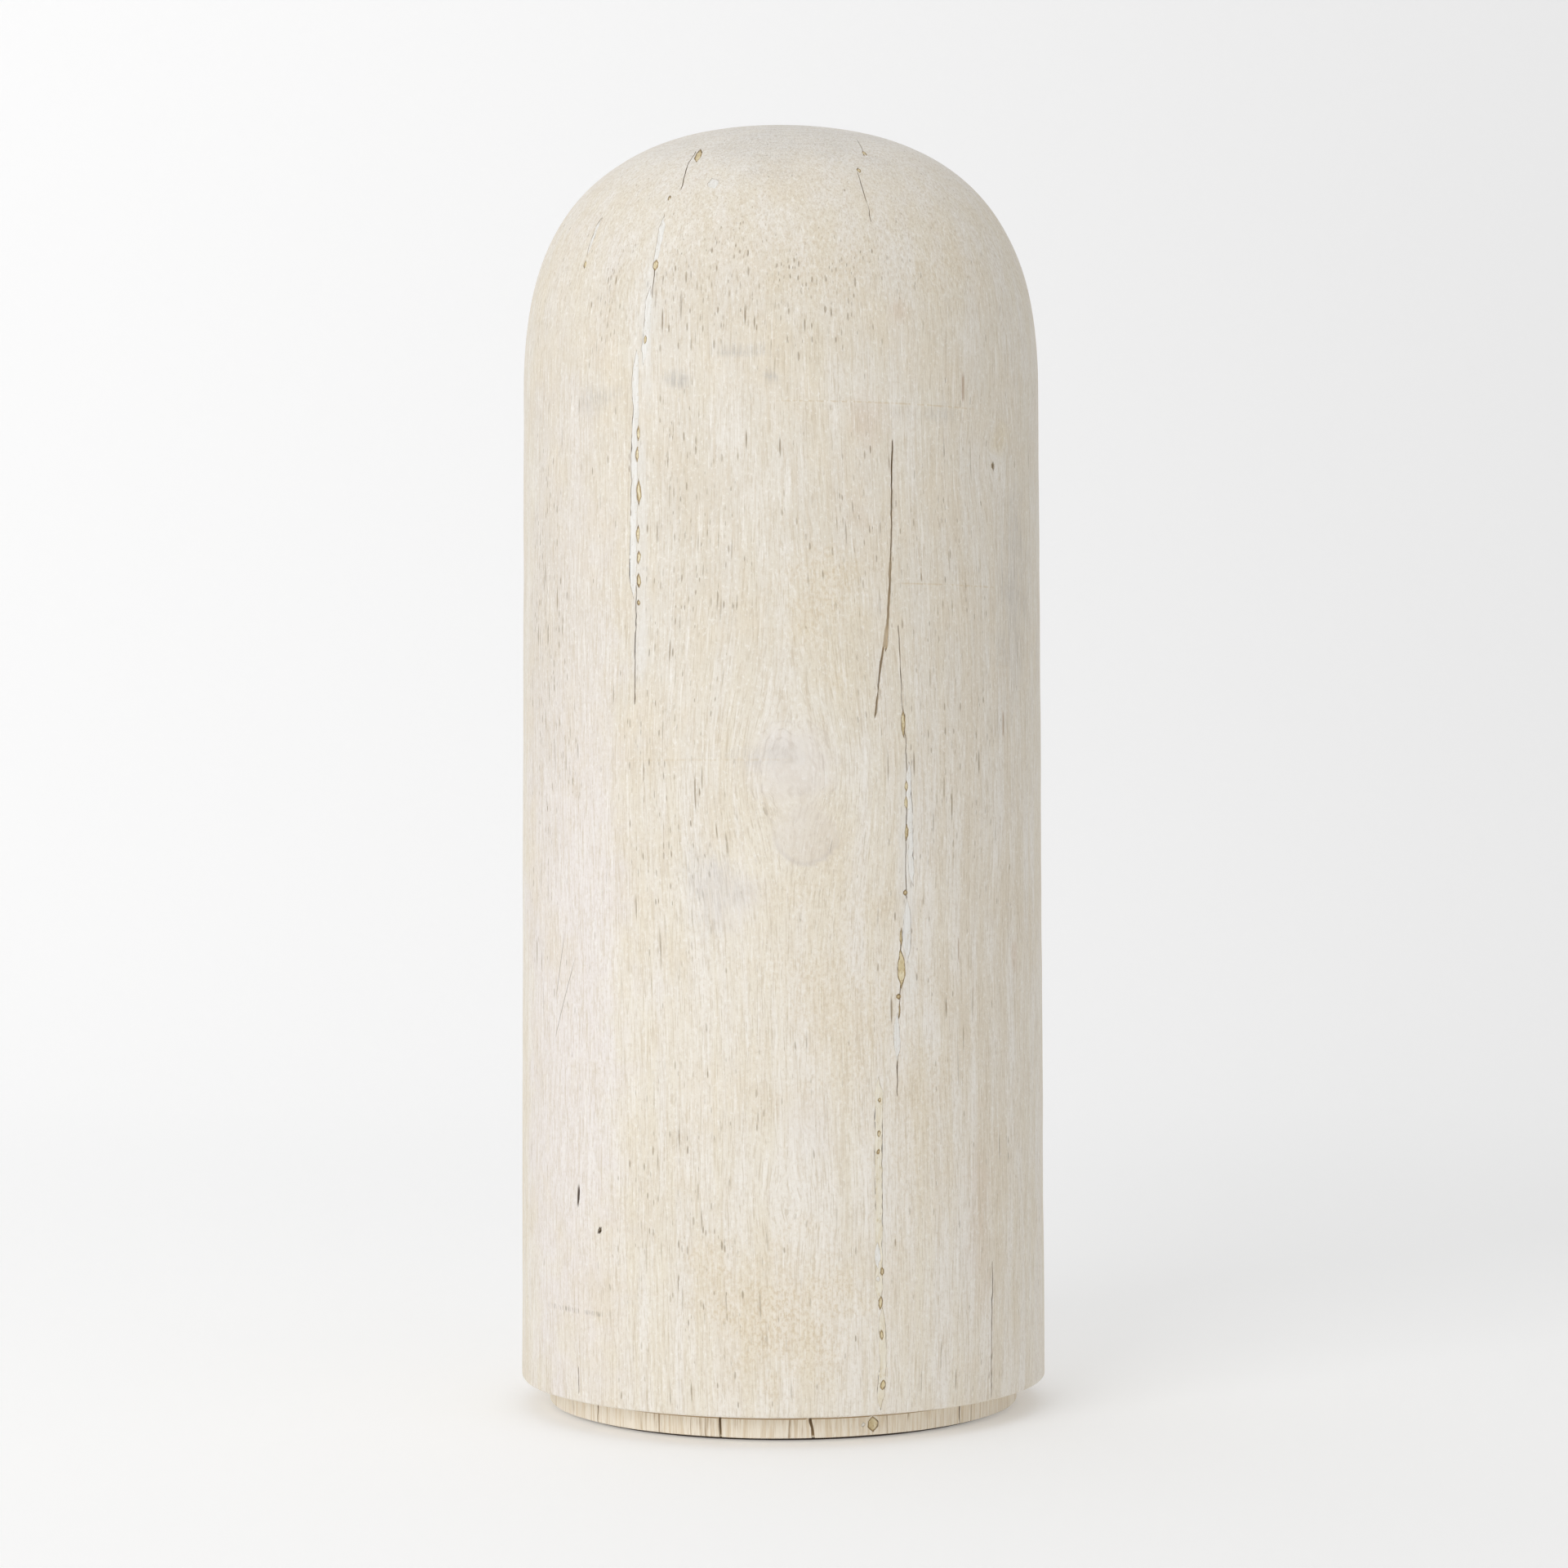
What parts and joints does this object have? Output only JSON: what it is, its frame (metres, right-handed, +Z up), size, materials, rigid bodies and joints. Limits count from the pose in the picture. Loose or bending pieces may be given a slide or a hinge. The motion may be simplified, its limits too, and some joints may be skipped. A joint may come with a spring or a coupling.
{
  "type": "turned wood column ornament",
  "caption": "Solid turned wooden column with a domed top, a recessed foot, stopped drying checks and a felt base disc, in a bleached whitewashed finish.",
  "frame": {"origin": "centre of the resting face, at the underside of the felt disc", "axes": "+Z up along the turning axis, -Y towards the front, +X to the viewer's right"},
  "size_m": [0.152, 0.152, 0.3673],
  "materials": {
    "whitewashed_wood": "bleached, whitewashed, sanded matte",
    "brown_filler": "glue and sawdust, slightly glossy, pitted",
    "cream_filler": "fine sawdust in glue, sanded matte",
    "white_putty": "sanded matte putty",
    "felt": "pressed felt"
  },
  "bodies": {
    "root": {"turned_log": "whitewashed_wood", "left_check_brown_filler": "brown_filler", "left_check_white_putty": "white_putty", "crown_check_brown_filler": "brown_filler", "dome_putty_streak": "white_putty", "dome_streak_brown_filler": "brown_filler", "dome_putty_dab": "white_putty", "right_check_brown_filler": "brown_filler", "right_check_white_putty": "white_putty", "lower_check_brown_filler": "brown_filler", "lower_check_white_putty": "white_putty", "lower_check_cream_filler": "cream_filler", "foot_check_brown_filler": "brown_filler", "foot_putty_chip": "white_putty", "felt_disc": "felt"}
  },
  "joints": []
}
